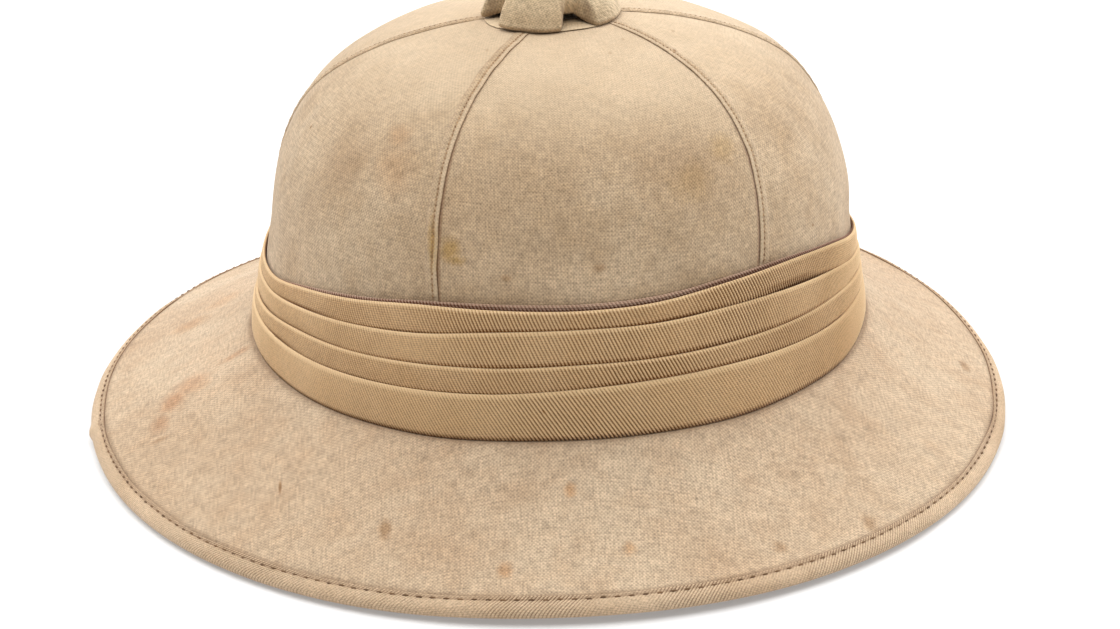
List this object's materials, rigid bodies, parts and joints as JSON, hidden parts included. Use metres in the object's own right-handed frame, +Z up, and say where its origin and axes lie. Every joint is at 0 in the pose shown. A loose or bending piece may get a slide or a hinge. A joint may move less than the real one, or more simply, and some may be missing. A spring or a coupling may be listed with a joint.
{
  "type": "pith helmet",
  "caption": "Cloth-covered pith helmet with a panelled oval crown, sloping bound brim, pleated puggaree band and lobed vent cap.",
  "frame": {"origin": "on the floor under the middle of the brim", "axes": "+Z up, front of the helmet towards -Y, long axis of the brim along Y"},
  "size_m": [0.2927, 0.3446, 0.144],
  "materials": {
    "crown_cloth": "plain-woven cream cotton, faintly blotched with age",
    "brim_cloth": "plain-woven cream cotton, warmer and more stained than the crown",
    "binding_cloth": "bias-cut cotton twill tape with a row of brown stitches",
    "puggaree_cloth": "ribbed tan cotton, folded and wound",
    "puggaree_ribbon": "mauve-brown ribbon edge",
    "vent_cloth": "greyer khaki cotton stretched over the cap",
    "vent_post": "buff paint, out of sight"
  },
  "bodies": {
    "root": {"crown_panel_1": "crown_cloth", "crown_panel_2": "crown_cloth", "crown_panel_3": "crown_cloth", "crown_panel_4": "crown_cloth", "crown_panel_5": "crown_cloth", "crown_panel_6": "crown_cloth", "seam_lap_1": "crown_cloth", "seam_lap_2": "crown_cloth", "seam_lap_3": "crown_cloth", "seam_lap_4": "crown_cloth", "seam_lap_5": "crown_cloth", "seam_lap_6": "crown_cloth", "brim": "brim_cloth", "brim_binding": "binding_cloth", "puggaree_fold_1": "puggaree_cloth", "puggaree_fold_2": "puggaree_cloth", "puggaree_fold_3": "puggaree_cloth", "puggaree_fold_4": "puggaree_cloth", "puggaree_lining": "puggaree_ribbon", "vent_base": "vent_cloth", "vent_cap": "vent_cloth", "vent_post": "vent_post"}
  },
  "joints": []
}
